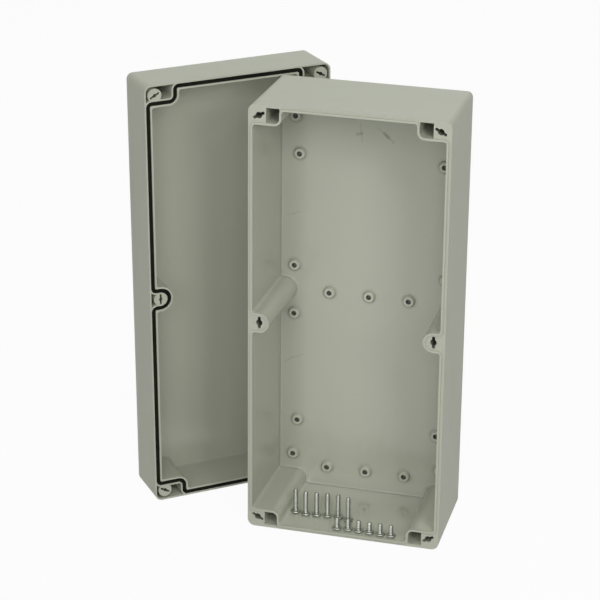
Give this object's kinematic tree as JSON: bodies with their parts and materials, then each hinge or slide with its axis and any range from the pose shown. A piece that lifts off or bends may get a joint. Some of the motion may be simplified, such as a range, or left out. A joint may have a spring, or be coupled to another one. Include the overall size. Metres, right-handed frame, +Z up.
{
  "type": "plastic project box",
  "caption": "Deep grey plastic enclosure with its gasketed cover taken off and standing behind it, corner screw columns, floor bosses and loose cover screws.",
  "frame": {"origin": "middle of the face that the base stands on, its lower end wall", "axes": "+Z up along the base, +X to the right across it as seen from its open side, +Y into the base and towards its back; the open side faces -Y"},
  "size_m": [0.2742, 0.1571, 0.3599],
  "materials": {
    "housing": "semi-gloss moulded",
    "gasket": "matt foam",
    "screw": "bright plated"
  },
  "bodies": {
    "root": {"base": "housing", "cover": "housing", "gasket": "gasket", "long_screw_1": "screw", "long_screw_2": "screw", "long_screw_3": "screw", "long_screw_4": "screw", "long_screw_5": "screw", "long_screw_6": "screw", "short_screw_1": "screw", "short_screw_2": "screw", "short_screw_3": "screw", "short_screw_4": "screw", "short_screw_5": "screw", "short_screw_6": "screw"}
  },
  "joints": []
}
